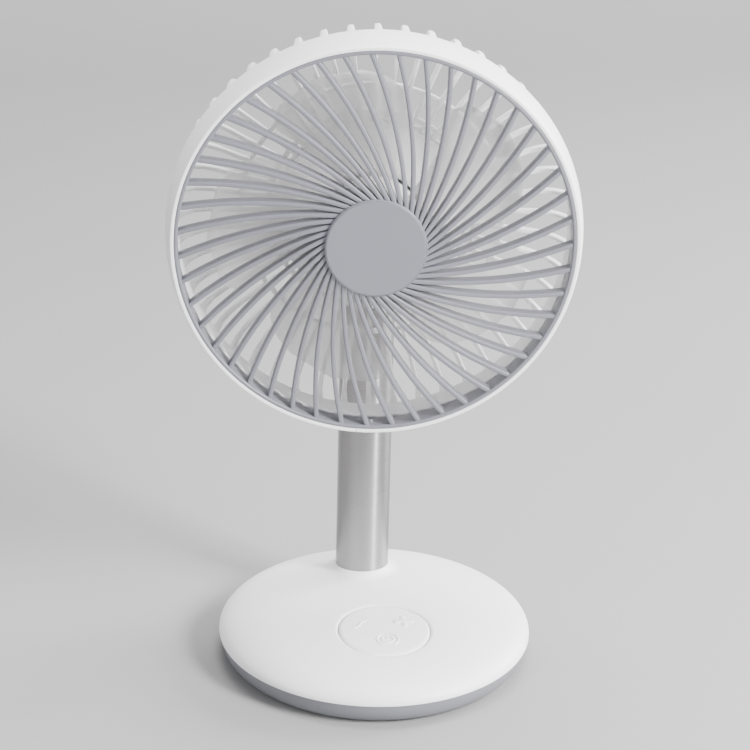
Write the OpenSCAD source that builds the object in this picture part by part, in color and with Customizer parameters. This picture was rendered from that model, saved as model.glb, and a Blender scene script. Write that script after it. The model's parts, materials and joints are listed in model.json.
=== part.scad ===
// Desk fan on a tubular stand: round domed base, aluminium pole,
// tilting and swivelling head with a swirl grille.
// Z is up, the fan blows towards -Y, the origin is the middle of the base on the table.

/* [Base] */
// Radius of the base at its widest
base_r = 72.6; // [64:0.2:95]
// Height of the middle of the dome above the table
base_h = 25.4; // [20.2:0.2:32]
// Height of the line where the white and the grey shell meet
seam_z = 11.4; // [9:0.2:14]
// Wall of both base shells
base_wall = 2; // [1.6:0.1:2.6]
// Radius of the flat underside
floor_r = 65; // [60:0.5:70]
// How far the rubber ring stands below the bottom shell
foot_proud = 0.8; // [0.5:0.1:2]
// Radius of the rubber ring's middle line
foot_ring = 54; // [51:0.5:55]
// Width of the rubber ring
foot_w = 6; // [3:0.5:7]

/* [Keys] */
// Radius of the round key plate
key_r = 21; // [17:0.5:23]
// Distance of the key plate in front of the middle
key_y = 26; // [22:0.5:30]
// Gap round the key plate
key_gap = 0.35; // [0.2:0.05:0.6]
// Thickness of the key plate
key_t = 1.8; // [1.4:0.1:2.2]
// Distance that a key press moves the plate
key_travel = 0.5; // [0.3:0.1:0.8]

/* [Pole] */
// Outer radius of the pole
pole_r = 12.5; // [9:0.5:16]
// Wall of the pole
pole_wall = 1; // [0.8:0.1:1.6]
// Distance of the pole behind the middle of the base
pole_y = 37.2; // [32:0.2:42]
// Height of the top end of the pole
pole_top = 189; // [120:1:240]

/* [Neck] */
// Height of the tilt pin above the end of the pole
pin_rise = 25; // [23:0.5:35]
// Radius of the tilt pin
pin_r = 2.5; // [2:0.1:3.5]
// Radius of the rounded lug and the fork ears
lug_r = 9; // [8:0.5:10]
// Width of the lug between the ears
lug_w = 9; // [7:0.5:11]
// Thickness of a fork ear
ear_t = 3.4; // [2.5:0.1:4.5]
// Angle at which the head stands, seen from above
swivel_now = -7.5; // [-45:0.5:45]

/* [Head] */
// Distance from the pole axis to the front rim
head_reach = 67.5; // [66:0.5:80]
// Outer radius of the front rim
rim_r = 88; // [80:0.5:110]
// White edge that shows round the grille
rim_lip = 1.7; // [1.2:0.1:3]
// Depth of the white shroud
shroud_d = 18; // [15:0.5:24]
// Outward flare of the shroud towards the back
shroud_flare = 2.6; // [2:0.1:4]
// Distance from the front rim to the back of the rear guard
head_d = 47; // [44:0.5:52]

/* [Grille] */
// Number of swirl ribs in the front grille
rib_count = 47; // [30:1:60]
// Width of a swirl rib
rib_w = 1.5; // [1.2:0.1:2]
// Depth of a swirl rib
rib_d = 5.5; // [3:0.5:7]
// Angle that a rib goes round from the hub to the ring
rib_sweep = 39; // [10:1:50]
// Angle that a rib turns along its length
rib_turn = 20; // [8:1:40]
// Depth of the grey ring
ring_d = 9.5; // [7:0.5:11]
// Thickness of the grey ring
ring_t = 1.7; // [1.2:0.1:2.5]
// Radius of the hub disc in front
hub_r = 22; // [18:0.2:26]
// How far the hub disc stands in front of the rim
hub_rise = 3.8; // [2:0.2:6]

/* [Rear guard] */
// Number of ribs in the rear guard
guard_count = 48; // [36:1:60]
// Width of a rear rib on the flat back
guard_rib_w = 1.9; // [1.4:0.1:2.6]
// Width of a rear rib where it leaves the shroud
guard_rib_root = 4.4; // [3:0.1:5.5]
// Depth of a rear rib
guard_rib_d = 3.6; // [2.5:0.1:4.5]
// Radius of the rounded rear corner
guard_corner = 18; // [10:1:19]
// Radius of the larger thin ring
guard_ring_a = 58.2; // [54:0.2:62]
// Radius of the smaller thin ring
guard_ring_b = 46; // [45.6:0.2:50]
// Radius of the closed middle of the guard
guard_disc_r = 43; // [40:0.5:44]

/* [Impeller] */
// Number of blades
blade_count = 5; // [3:1:7]
// Radius at the blade tips
blade_r = 73; // [55:0.5:75]
// Thickness of a blade
blade_t = 1.4; // [1:0.1:2]
// Angle of a blade to the plane it turns in
blade_pitch = 23; // [20:1:35]
// Radius of the impeller's hub
fan_hub_r = 21; // [18:0.5:22]
// Radius of the motor shaft
shaft_r = 1.5; // [1.2:0.1:2]

/* [Hidden] */
$fn = 96;

white = [0.93, 0.93, 0.93];
grey = [0.55, 0.55, 0.58];
aluminium = [0.78, 0.79, 0.8];
steel = [0.6, 0.61, 0.63];
milky = [0.95, 0.96, 0.97];
board_green = [0.1, 0.35, 0.2];
black = [0.12, 0.12, 0.13];
copper = [0.75, 0.42, 0.2];

// Clearances
slip = 0.1;          // radial gap of parts that push together
run = 0.04;          // radial gap of parts that turn on each other
free_gap = 0.4;      // gap between parts that pass each other
eps = 0.01;

// ---------- base ----------
inner_r = base_r - base_wall;
inner_h = base_h - base_wall;
floor_z = foot_proud;                    // underside of the bottom shell
deck_z = floor_z + base_wall;            // inside of the bottom shell
rim_step = 0.5;                          // the grey shell is this much smaller at the seam
dome_n = 2.3;                            // roundness of the dome's outline
dome_steps = 18;
collar_rise = 2;                         // the flared collar round the pole stands this proud
collar_w = 5;                            // and reaches this far out from the pole
collar_root = 1.6;                       // depth of the collar in the dome's wall

// Dome outline from the rim (a = 0) to the middle (a = 90)
function dome_pts(r, h) = [
    for (i = [0 : dome_steps]) let (a = 90 * i / dome_steps)
        [r * pow(cos(a), 2 / dome_n), seam_z + (h - seam_z) * pow(sin(a), 2 / dome_n)]
];

// Height of the dome's outside at a distance from the middle
function dome_z(d) = seam_z + (base_h - seam_z) * pow(1 - pow(d / base_r, dome_n), 1 / dome_n);

// Distance from the middle to the dome's outside at a height
function dome_r(z) = base_r * pow(1 - pow((z - seam_z) / (base_h - seam_z), dome_n), 1 / dome_n);

// Slope of the dome's outside at a distance from the middle
function dome_slope(d) = atan(dome_z(d + 0.5) - dome_z(d - 0.5));

// Height of the dome's inside at a distance from the middle
function inner_z(d) = seam_z + (inner_h - seam_z) * pow(1 - pow(d / inner_r, dome_n), 1 / dome_n);

// Outline of the grey bowl from the seam down to the flat underside
bowl_steps = 8;
function bowl_pts(r, low_r, low_z) = [
    for (i = [0 : bowl_steps]) let (a = 90 * i / bowl_steps)
        [low_r + (r - low_r) * cos(a), seam_z - (seam_z - low_z) * sin(a)]
];

module dome_solid(r, h, down = 0) {
    rotate_extrude()
        polygon(concat([[0, seam_z - down], [r, seam_z - down]], down > 0 ? dome_pts(r, h)
            : [for (i = [1 : dome_steps]) dome_pts(r, h)[i]]));
}

module at_pole() {
    translate([0, pole_y, 0])
        children();
}

module at_key() {
    translate([0, -key_y, 0])
        children();
}

module ring(outer, inner, z0, z1) {
    translate([0, 0, z0])
        difference() {
            cylinder(r = outer, h = z1 - z0);
            translate([0, 0, -1])
                cylinder(r = inner, h = z1 - z0 + 2);
        }
}

// Control board and switches under the key plate
board_t = 1.6;
key_low = dome_z(key_y + key_r) - key_t; // underside of the key plate
switch_h = 3.2;
cap_h = 1;
board_z = key_low - switch_h - cap_h - board_t;
switch_half = 3;
switch_cap_r = 1.6;
switch_ring = 11;
switch_angles = [150, 30, 270];
skirt_t = 1.4;
key_hole_r = key_r + key_gap;
board_r = key_hole_r + skirt_t;

// Charging inlet at the back
usb_w = 8.9;
usb_t = 3.2;
usb_l = 7.5;
usb_z = seam_z + 1.2 + usb_t / 2;
usb_gap = 0.3;                           // gap round the inlet's shell
usb_face_y = sqrt(pow(dome_r(usb_z + usb_t / 2 + usb_gap), 2) - pow(usb_w / 2 + usb_gap, 2)) - 0.6;
charge_t = 1.2;
charge_z = usb_z - usb_t / 2 - charge_t; // underside of the charging board

// Screw places of the base
screw_r = 1.3;
screw_head_r = 2.4;
post_r = 3.4;
post_ring = 61;
post_angles = [40, 140, 200, 340];
foot_sink = 0.8;                         // depth of the rubber ring's groove

charge_leg_r = 2;

// Legs of the charging board
module charge_legs(r) {
    for (side = [-1, 1])
        translate([side * 6.5, usb_face_y - usb_l - 3.5, deck_z - 0.5])
            cylinder(r = r, h = charge_z - deck_z + 0.5);
}

module base_posts(low, high, r) {
    for (a = post_angles)
        rotate(a)
            translate([post_ring, 0, low])
                cylinder(r = r, h = high - low);
}

module base_top() {
    color(white)
    difference() {
        union() {
            difference() {
                dome_solid(base_r, base_h);
                dome_solid(inner_r, inner_h, 1);
            }
            // posts that the base screws bite into
            intersection() {
                base_posts(seam_z - 1, base_h, post_r);
                dome_solid(base_r - 0.5, base_h - 0.5, 2);
            }
            // skirt that guides the key plate
            intersection() {
                at_key()
                    ring(key_hole_r + skirt_t, key_hole_r, board_z + board_t + 1.2, base_h);
                dome_solid(base_r - 0.5, base_h - 0.5);
            }
            // posts that carry the control board
            at_key()
                board_posts();
            // flared collar round the pole
            at_pole()
                translate([0, 0, dome_z(pole_y)])
                    rotate([dome_slope(pole_y), 0, 0])
                        rotate_extrude()
                            difference() {
                                translate([pole_r - 1, -collar_root])
                                    square([collar_w + 2, collar_root + collar_rise]);
                                translate([pole_r + 1 + collar_w, collar_w - 0.8])
                                    circle(r = collar_w);
                            }
        }
        at_pole()
            translate([0, 0, seam_z])
                cylinder(r = pole_r + slip, h = base_h);
        at_key()
            translate([0, 0, inner_h - 3])
                cylinder(r = key_hole_r, h = base_h);
        base_posts(seam_z - 2, seam_z + 4.5, screw_r - 0.2);
        // mouth of the charging inlet
        translate([0, base_r, usb_z])
            cube([usb_w + 2 * usb_gap, 24, usb_t + 2 * usb_gap], center = true);
    }
}

board_post_ring = key_hole_r - 1.5;
board_post_angles = [90, 200, 340];

module board_posts() {
    for (a = board_post_angles)
        rotate(a)
            translate([board_post_ring, 0, board_z + board_t])
                difference() {
                    cylinder(r = 2.1, h = key_low - key_travel - free_gap - board_z - board_t);
                    translate([0, 0, -1])
                        cylinder(r = 0.8, h = 3.5);
                }
}

module base_bottom() {
    color(grey)
    difference() {
        union() {
            rotate_extrude()
                polygon(concat(bowl_pts(base_r - rim_step, floor_r, floor_z), [[0, floor_z], [0, deck_z]],
                    [for (i = [bowl_steps : -1 : 0])
                        bowl_pts(inner_r - rim_step, floor_r - base_wall, deck_z)[i]]));
            base_posts(floor_z + 0.2, seam_z - 1.05, post_r);
            charge_legs(charge_leg_r);
            // seat under the pole foot
            at_pole()
                ring(foot_flange_r, 6, deck_z - 0.5, foot_seat_z);
        }
        base_posts(floor_z - 1, seam_z, screw_r + 0.2);
        base_posts(floor_z - 1, floor_z + 2.6, screw_head_r + 0.2);
        ring(foot_ring + foot_w / 2, foot_ring - foot_w / 2, floor_z - 1, floor_z + foot_sink);
        at_pole()
            pole_foot_holes(floor_z - 1, deck_z + 3, screw_r + 0.2);
        at_pole()
            pole_foot_holes(floor_z - 1, floor_z + 1.6, screw_head_r + 0.2);
    }
}

module rubber_ring() {
    color(black)
    ring(foot_ring + foot_w / 2 - slip, foot_ring - foot_w / 2 + slip, 0, floor_z + foot_sink);
}

module screw(length, r, head_r, head_h) {
    translate([0, 0, -eps])
        cylinder(r = r, h = length + eps);
    difference() {
        translate([0, 0, -head_h])
            cylinder(r = head_r, h = head_h);
        translate([0, 0, -head_h - 0.1])
            cylinder(r = head_r * 0.45, h = head_h * 0.7, $fn = 6);
    }
}

module base_screws() {
    color(steel)
    for (a = post_angles)
        rotate(a)
            translate([post_ring, 0, floor_z + 2.6])
                screw(seam_z - floor_z - 0.5, screw_r - 0.2, screw_head_r, 1.6);
}

// ---------- pole and its foot ----------
pole_in = pole_r - pole_wall;
foot_flange_r = pole_r + 7;
foot_seat_z = deck_z + 0.6;
foot_flange_t = 2.2;
foot_tube_t = 2.6;
foot_tube_top = inner_z(pole_y + pole_r + slip + foot_tube_t) - free_gap;
pole_low = foot_seat_z + foot_flange_t;
foot_screw_ring = pole_r + 4.6;
// the two rear screws lean back as far as the rubber ring lets their heads go
foot_screw_reach = foot_ring - foot_w / 2 - screw_head_r - 0.4;
foot_screw_sine = (pow(foot_screw_reach, 2) - pow(pole_y, 2) - pow(foot_screw_ring, 2)) / (2 * pole_y * foot_screw_ring);
foot_screw_lean = asin(max(-1, min(0.5, foot_screw_sine)));
foot_screw_angles = [foot_screw_lean, 180 - foot_screw_lean, 270];

module pole_foot_holes(z0, z1, r) {
    for (a = foot_screw_angles)
        rotate(a)
            translate([foot_screw_ring, 0, z0])
                cylinder(r = r, h = z1 - z0);
}

module pole_foot() {
    color(aluminium)
    at_pole()
        difference() {
            union() {
                ring(foot_flange_r, 5.5, foot_seat_z, foot_seat_z + foot_flange_t);
                ring(pole_r + slip + foot_tube_t, pole_r + slip, foot_seat_z, foot_tube_top);
            }
            pole_foot_holes(foot_seat_z - 1, foot_seat_z + foot_flange_t + 4, screw_r - 0.15);
            // room for the posts and legs of the bottom shell
            translate([0, -pole_y, 0]) {
                base_posts(0, seam_z, post_r + free_gap);
                charge_legs(charge_leg_r + free_gap);
            }
        }
}

module foot_screws() {
    color(steel)
    at_pole()
        for (a = foot_screw_angles)
            rotate(a)
                translate([foot_screw_ring, 0, floor_z + 1.6])
                    screw(foot_seat_z + foot_flange_t - floor_z - 1.6, screw_r - 0.2, screw_head_r, 1.2);
}

module pole_tube() {
    color(aluminium)
    at_pole()
        ring(pole_r, pole_in, pole_low, pole_top);
}

bush_len = 22;
spigot_r = 7;
spigot_len = bush_len + 1.6;
spigot_bore = 3.6;
bush_flange_t = 1.2;
neck_gap = 0.3;
neck_z = pole_top + bush_flange_t + neck_gap;
clip_t = 1;
lead_r = 1.9;

module swivel_bush() {
    color(black)
    at_pole() {
        ring(pole_in - slip, spigot_r + run, pole_top - bush_len, pole_top);
        ring(pole_r - 0.6, spigot_r + run, pole_top, pole_top + bush_flange_t);
    }
}

module pole_lead() {
    color(black)
    at_pole()
        translate([0, 0, foot_seat_z + foot_flange_t + 0.4])
            cylinder(r = lead_r, h = pole_top - bush_len - foot_seat_z - foot_flange_t - 6);
}

// ---------- what is inside the base ----------
plate_t = 3.6;
plate_r = floor_r - 5.5;

module weight_plate() {
    color(steel)
    difference() {
        translate([0, 0, deck_z])
            cylinder(r = plate_r, h = plate_t);
        base_posts(0, seam_z, post_r + 0.6);
        at_pole()
            cylinder(r = foot_flange_r + 1, h = seam_z);
        translate([0, plate_r, seam_z])
            cube([26, 26, 2 * seam_z], center = true);
    }
}

battery_l = 44;
battery_w = 30;
battery_t = 6;

module battery_pack() {
    color([0.3, 0.5, 0.75])
    for (side = [-1, 1])
        translate([side * (key_r + skirt_t + key_gap + 17), -4, deck_z + plate_t + battery_t / 2])
            cube([battery_w - 4, battery_l, battery_t], center = true);
}

module control_board() {
    color(board_green)
    at_key()
        difference() {
            translate([0, 0, board_z])
                cylinder(r = board_r, h = board_t);
            for (a = board_post_angles)
                rotate(a)
                    translate([board_post_ring, 0, board_z - 1])
                        cylinder(r = 1.1, h = board_t + 2);
        }
}

module board_screws() {
    color(steel)
    at_key()
        for (a = board_post_angles)
            rotate(a)
                translate([board_post_ring, 0, board_z])
                    screw(board_t + 2.4, 0.75, 1.8, 1);
}

module switch_bodies() {
    color(black)
    at_key()
        for (a = switch_angles)
            rotate(a)
                translate([switch_ring, 0, board_z + board_t])
                    rotate(-a)
                        difference() {
                            translate([-switch_half, -switch_half, 0])
                                cube([2 * switch_half, 2 * switch_half, switch_h]);
                            translate([0, 0, 1.2])
                                cylinder(r = switch_cap_r + 0.15, h = switch_h);
                        }
}

module switch_caps() {
    color(steel)
    at_key()
        for (a = switch_angles)
            rotate(a)
                translate([switch_ring, 0, board_z + board_t + 1.2 + key_travel + 0.2])
                    cylinder(r = switch_cap_r, h = key_low - board_z - board_t - 1.4 - key_travel);
}

module key_plate() {
    color(white)
    difference() {
        intersection() {
            dome_solid(base_r, base_h);
            at_key()
                translate([0, 0, key_low])
                    cylinder(r = key_r, h = base_h);
        }
        // thin edge above the solid middle
        at_key()
            translate([0, 0, key_low - 1])
                ring(key_r - 1.6, key_r - 3, 0, 1.6);
    }
}

module charge_board() {
    color(board_green)
    translate([-9, usb_face_y - usb_l - 6, charge_z])
        cube([18, usb_l + 4, charge_t]);
}

module usb_socket() {
    color(steel)
    difference() {
        translate([-usb_w / 2, usb_face_y - usb_l, usb_z - usb_t / 2])
            cube([usb_w, usb_l, usb_t]);
        translate([-usb_w / 2 + 0.4, usb_face_y - usb_l + 1.2, usb_z - usb_t / 2 + 0.4])
            cube([usb_w - 0.8, usb_l, usb_t - 0.8]);
    }
}

// ---------- neck ----------
head_z = pole_top + pin_rise;
neck_disc_t = 4;
ear_gap = 0.35;                          // friction washer between lug and ear
ear_in = lug_w / 2 + ear_gap;

module at_neck() {
    at_pole()
        rotate([0, 0, swivel_now])
            children();
}

// Everything on the pin: X runs along the pin
module at_pin() {
    at_neck()
        translate([0, 0, head_z])
            children();
}

module bar_x(r, x0, x1) {
    translate([x0, 0, 0])
        rotate([0, 90, 0])
            cylinder(r = r, h = x1 - x0);
}

module neck_fork() {
    color(white)
    at_neck()
        difference() {
            union() {
                translate([0, 0, neck_z])
                    cylinder(r = pole_r, h = neck_disc_t);
                translate([0, 0, neck_z - neck_gap - bush_flange_t - spigot_len])
                    cylinder(r = spigot_r, h = spigot_len + bush_flange_t + neck_gap + 1);
                for (side = [-1, 1])
                    translate([side > 0 ? ear_in : -ear_in - ear_t, 0, 0])
                        intersection() {
                            union() {
                                translate([0, -lug_r, neck_z + 1])
                                    cube([ear_t, 2 * lug_r, head_z - neck_z - 1]);
                                translate([0, 0, head_z])
                                    bar_x(lug_r, 0, ear_t);
                            }
                            translate([0, -lug_r - 1, 0])
                                cube([ear_t, 2 * lug_r + 2, head_z + lug_r + 1]);
                        }
            }
            translate([0, 0, neck_z - spigot_len - 5])
                cylinder(r = spigot_bore, h = spigot_len + neck_disc_t + 10);
            // groove for the retaining clip
            translate([0, 0, clip_z])
                difference() {
                    cylinder(r = spigot_r + 1, h = clip_t);
                    translate([0, 0, -1])
                        cylinder(r = spigot_r - 1, h = clip_t + 2);
                }
            translate([0, 0, head_z])
                bar_x(pin_r + run, -20, 20);
            translate([0, 0, head_z])
                bar_x(pin_head_r + slip, ear_in + ear_t - 1.2, 20);
            translate([0, 0, head_z])
                bar_x(nut_r + slip, -20, -ear_in - ear_t + 1.2);
        }
}

clip_z = pole_top - bush_len - clip_t - 0.1;

module swivel_clip() {
    color(steel)
    at_neck()
        ring(spigot_r + 2, spigot_r - 1, clip_z, clip_z + clip_t);
}

pin_head_r = 4.6;
nut_r = 4.6;
pin_end = ear_in + ear_t;

module tilt_pin() {
    color(steel)
    at_pin()
        difference() {
            union() {
                bar_x(pin_r, -pin_end + 0.2, pin_end - 1);
                bar_x(pin_head_r, pin_end - 1.2, pin_end + 0.6);
            }
            bar_x(1.5, pin_end - 0.4, pin_end + 2);
        }
}

module tilt_nut() {
    color(steel)
    at_pin()
        difference() {
            bar_x(nut_r, -pin_end - 0.8, -pin_end + 1.2);
            bar_x(pin_r + 0.02, -pin_end - 2, -pin_end + 2);
        }
}

module tilt_washers() {
    color(black)
    at_pin()
        for (side = [-1, 1])
            difference() {
                bar_x(lug_r - 2, side * (lug_w / 2 + 0.06) - (side < 0 ? ear_gap - 0.06 : 0),
                    side * (lug_w / 2 + 0.06) + (side > 0 ? ear_gap - 0.06 : 0));
                bar_x(pin_r + 0.1, -20, 20);
            }
}

// ---------- head ----------
// In the head the front rim lies at z = 0 and z grows towards the front
module at_head() {
    at_neck()
        translate([0, -head_reach, head_z])
            rotate([90, 0, 0])
                children();
}

ring_r = rim_r - rim_lip;                // outer radius of the grey ring
band_r = ring_r - slip;
rib_in = hub_r - 0.9;
rib_out = ring_r - ring_t / 2;
rib_p1 = [rib_in, 0];
rib_p2 = rib_out * [cos(rib_sweep), sin(rib_sweep)];
rib_chord = norm(rib_p2 - rib_p1);
rib_curve_r = rib_chord / (2 * sin(rib_turn / 2));
rib_dir = (rib_p2 - rib_p1) / rib_chord;
rib_mid = (rib_p1 + rib_p2) / 2;
rib_centre = rib_mid + rib_curve_r * cos(rib_turn / 2) * [-rib_dir[1], rib_dir[0]];
rib_start = atan2(rib_p1[1] - rib_centre[1], rib_p1[0] - rib_centre[0]);
rib_top_in = hub_rise - 1.4;             // front edge of a rib at the hub
rib_top_out = -0.5;                      // and at the ring

module swirl_rib() {
    translate([rib_centre[0], rib_centre[1], 0])
        rotate(rib_start)
            rotate_extrude(angle = rib_turn, $fn = 240)
                translate([rib_curve_r - rib_w / 2, -12])
                    square([rib_w, 20]);
}

module front_grille() {
    color(grey)
    at_head()
        difference() {
            union() {
                ring(ring_r, ring_r - ring_t, -ring_d, 0);
                translate([0, 0, -2.6])
                    cylinder(r = hub_r, h = hub_rise + 2.6);
                intersection() {
                    union()
                        for (i = [0 : rib_count - 1])
                            rotate(360 * i / rib_count)
                                swirl_rib();
                    rotate_extrude()
                        polygon([
                            [hub_r - 1.5, rib_top_in - rib_d], [ring_r - 0.4, rib_top_out - rib_d],
                            [ring_r - 0.4, rib_top_out], [hub_r - 1.5, rib_top_in]
                        ]);
                }
            }
            // seat of the hub cap and the hollow behind it
            translate([0, 0, hub_rise - 1.8])
                cylinder(r = hub_r - 0.5, h = 3);
            translate([0, 0, -4])
                cylinder(r = hub_r - 2.4, h = 4.6);
            // pilot hole of the grille screw
            rotate(-90)
                translate([ring_r - 3, 0, -ring_d / 2])
                    rotate([0, 90, 0])
                        cylinder(r = 0.9, h = 6);
        }
}

module hub_cap() {
    color(grey)
    at_head()
        translate([0, 0, hub_rise - 1.8])
            cylinder(r = hub_r - 0.5 - 0.05, h = 1.8);
}

// Outer radius of the shroud, from its front (t = 0) to its back (t = 1)
shroud_steps = 8;
function shroud_side(t) = rim_r + shroud_flare * (1 - pow(1 - t, 2));

module shroud_ring() {
    color(white)
    at_head()
        difference() {
            rotate_extrude()
                polygon(concat([[ring_r + 0.05, 0], [rim_r - 0.5, 0]], [for (i = [0 : shroud_steps])
                    [shroud_side(i / shroud_steps), -0.5 - (shroud_d - 0.5) * i / shroud_steps]],
                    [[ring_r + 0.05, -shroud_d]]));
            rotate(-90)
                translate([ring_r - 2, 0, -ring_d / 2])
                    rotate([0, 90, 0])
                        cylinder(r = 1.2, h = 8);
            rotate(-90)
                translate([rim_r - 0.6, 0, -ring_d / 2])
                    rotate([0, 90, 0])
                        cylinder(r = 2.2, h = 4);
        }
}

module grille_screw() {
    color(steel)
    at_head()
        rotate(-90)
            translate([rim_r - 0.6, 0, -ring_d / 2])
                rotate([0, -90, 0])
                    screw(rim_r - 0.6 - ring_r + ring_t + 0.6, 0.85, 2, 0.7);
}

guard_out = rim_r + shroud_flare / 2;    // outer edge of the wrapped ribs
band_t = 1.7;
band_front = -ring_d - 1.2;
band_back = -shroud_d - 6;
flange_t = 2.4;

// Cross-section of a rear rib: it follows the side, turns the corner and runs to the middle
module guard_rib_outline() {
    difference() {
        union() {
            translate([guard_out - guard_corner, -head_d + guard_corner])
                circle(r = guard_corner);
            translate([guard_disc_r - 1, -head_d])
                square([guard_out - guard_corner - guard_disc_r + 1, guard_corner]);
            translate([guard_out - guard_corner, -head_d + guard_corner])
                square([guard_corner, head_d]);
        }
        translate([guard_out - guard_corner, -head_d + guard_corner])
            circle(r = guard_corner - guard_rib_d);
        translate([0, -head_d + guard_rib_d])
            square([guard_out - guard_corner, guard_corner + 30]);
        translate([0, -head_d + guard_corner])
            square([guard_out - guard_rib_d, 60]);
        translate([0, -shroud_d - 0.05])
            square([2 * guard_out, 60]);
    }
}

// A rear rib: broad where it leaves the shroud, narrow on the flat back
module guard_rib() {
    intersection() {
        rotate([90, 0, 0])
            translate([0, 0, -guard_rib_root])
                linear_extrude(2 * guard_rib_root)
                    guard_rib_outline();
        rotate([0, 90, 0])
            linear_extrude(2 * guard_out)
                polygon([
                    [shroud_d - 1, -guard_rib_root / 2], [head_d - guard_corner / 2, -guard_rib_w / 2],
                    [head_d + 1, -guard_rib_w / 2], [head_d + 1, guard_rib_w / 2],
                    [head_d - guard_corner / 2, guard_rib_w / 2], [shroud_d - 1, guard_rib_root / 2]
                ]);
    }
}

// The guard is in two pieces: the band with the ribs' straight sides, and the cage behind this plane
guard_join_z = -head_d + guard_corner - 5;

module guard_ribs(low, high) {
    intersection() {
        for (i = [0 : guard_count - 1])
            rotate(360 * i / guard_count)
                guard_rib();
        translate([0, 0, low])
            cylinder(r = guard_out + 1, h = high - low);
    }
}

module guard_band() {
    color(white)
    at_head()
        union() {
            // band that slides into the shroud, and the flange behind it
            ring(band_r, band_r - band_t, band_back, band_front);
            ring(guard_out - 0.3, band_r - band_t, -shroud_d - flange_t, -shroud_d);
            guard_ribs(guard_join_z, 0);
        }
}

module guard_cage() {
    color(white)
    at_head()
        union() {
            guard_ribs(-head_d - 1, guard_join_z);
            ring(guard_ring_a + 1.1, guard_ring_a - 1.1, -head_d + 0.6, -head_d + 2.6);
            ring(guard_ring_b + 1, guard_ring_b - 1, -head_d + 0.6, -head_d + 2.6);
            difference() {
                translate([0, 0, -head_d + 0.3])
                    cylinder(r = guard_disc_r, h = disc_t);
                translate([0, 0, -head_d - 1])
                    cylinder(r = 7, h = disc_t + 3);
                housing_screw_holes(-head_d - 1, 4, 1.2);
                cover_screw_holes(-head_d - 1, 4, 0.9);
                motor_screw_holes(-head_d - 1, 4, 1);
            }
        }
}

// ---------- motor ----------
disc_t = 2;
motor_z = -head_d + 0.3 + disc_t;        // front face of the guard's middle, where the motor stands
housing_r = 23.4;
housing_wall = 1.6;
housing_front = motor_z + 12.6;
housing_screw_ring = 34;
housing_screw_angles = [90, 210, 330];
cover_r = 26;
cover_d = 4.6;
cover_screw_ring = 21;
cover_screw_angles = [45, 135, 225, 315];
motor_screw_ring = 11;
motor_screw_angles = [60, 180, 300];
tube_r = 5.2;
bearing_r = 4;
bearing_w = 2.6;

module housing_screw_holes(z0, h, r) {
    for (a = housing_screw_angles)
        rotate(a)
            translate([housing_screw_ring, 0, z0])
                cylinder(r = r, h = h);
}

module motor_screw_holes(z0, h, r) {
    for (a = motor_screw_angles)
        rotate(a)
            translate([motor_screw_ring, 0, z0])
                cylinder(r = r, h = h);
}

module cover_screw_holes(z0, h, r) {
    for (a = cover_screw_angles)
        rotate(a)
            translate([cover_screw_ring, 0, z0])
                cylinder(r = r, h = h);
}

module motor_housing() {
    color(white)
    at_head()
        difference() {
            rotate_extrude()
                polygon([
                    [guard_disc_r - 1.5, motor_z], [guard_disc_r - 1.5, motor_z + 1.6],
                    [guard_disc_r - 4, motor_z + 2.4], [housing_r, housing_front - 1],
                    [housing_r - 1, housing_front], [housing_r - housing_wall, housing_front],
                    [housing_r - housing_wall, motor_z + 2.6], [housing_r - housing_wall + 1.5, motor_z]
                ]);
            housing_screw_holes(motor_z - 1, 5, 0.9);
        }
}

module housing_screws() {
    color(steel)
    at_head()
        for (a = housing_screw_angles)
            rotate(a)
                translate([housing_screw_ring, 0, -head_d + 0.3])
                    screw(disc_t + 2.4, 0.85, 2, 0.8);
}

stator_back = motor_z + 3;
stator_t = 6;
stator_r = 16.4;
stator_teeth = 9;
bell_r = 20;
bell_wall = 1.2;
magnet_t = 1.6;
bell_back = stator_back - 0.4;
bell_front = stator_back + stator_t + 3.6;
tube_front = stator_back + stator_t + 1;

module motor_base() {
    color(aluminium)
    at_head()
        difference() {
            union() {
                translate([0, 0, motor_z])
                    cylinder(r = 15, h = 1);
                translate([0, 0, motor_z])
                    cylinder(r = tube_r, h = tube_front - motor_z);
            }
            translate([0, 0, motor_z + 0.8])
                cylinder(r = bearing_r, h = 30);
            translate([0, 0, motor_z - 1])
                cylinder(r = 2.6, h = 4);
            motor_screw_holes(motor_z - 1, 3, 0.9);
        }
}

module motor_screws() {
    color(steel)
    at_head()
        for (a = motor_screw_angles)
            rotate(a)
                translate([motor_screw_ring, 0, -head_d + 0.3])
                    screw(disc_t + 0.9, 0.85, 1.9, 0.8);
}

module motor_bearings() {
    color(steel)
    at_head() {
        ring(bearing_r, shaft_r + run, motor_z + 0.8, motor_z + 0.8 + bearing_w);
        ring(bearing_r, shaft_r + run, tube_front - bearing_w, tube_front);
    }
}

module stator_core() {
    color(steel)
    at_head()
        difference() {
            union() {
                ring(8.4, tube_r, stator_back, stator_back + stator_t);
                for (i = [0 : stator_teeth - 1])
                    rotate(360 * i / stator_teeth)
                        translate([7.6, -1.1, stator_back])
                            cube([7.8, 2.2, stator_t]);
                difference() {
                    ring(stator_r, stator_r - 1.4, stator_back, stator_back + stator_t);
                    for (i = [0 : stator_teeth - 1])
                        rotate(360 * (i + 0.5) / stator_teeth)
                            translate([10, -1, stator_back - 1])
                                cube([10, 2, stator_t + 2]);
                }
            }
        }
}

module stator_coils() {
    color(copper)
    at_head()
        for (i = [0 : stator_teeth - 1])
            rotate(360 * i / stator_teeth)
                difference() {
                    translate([9.6, -2.1, stator_back - 1])
                        cube([4.8, 4.2, stator_t + 2]);
                    translate([9, -1.1, stator_back])
                        cube([6, 2.2, stator_t]);
                }
}

module motor_board() {
    color(board_green)
    at_head()
        ring(14.8, tube_r + 0.2, motor_z + 1, motor_z + 1.8);
}

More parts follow.
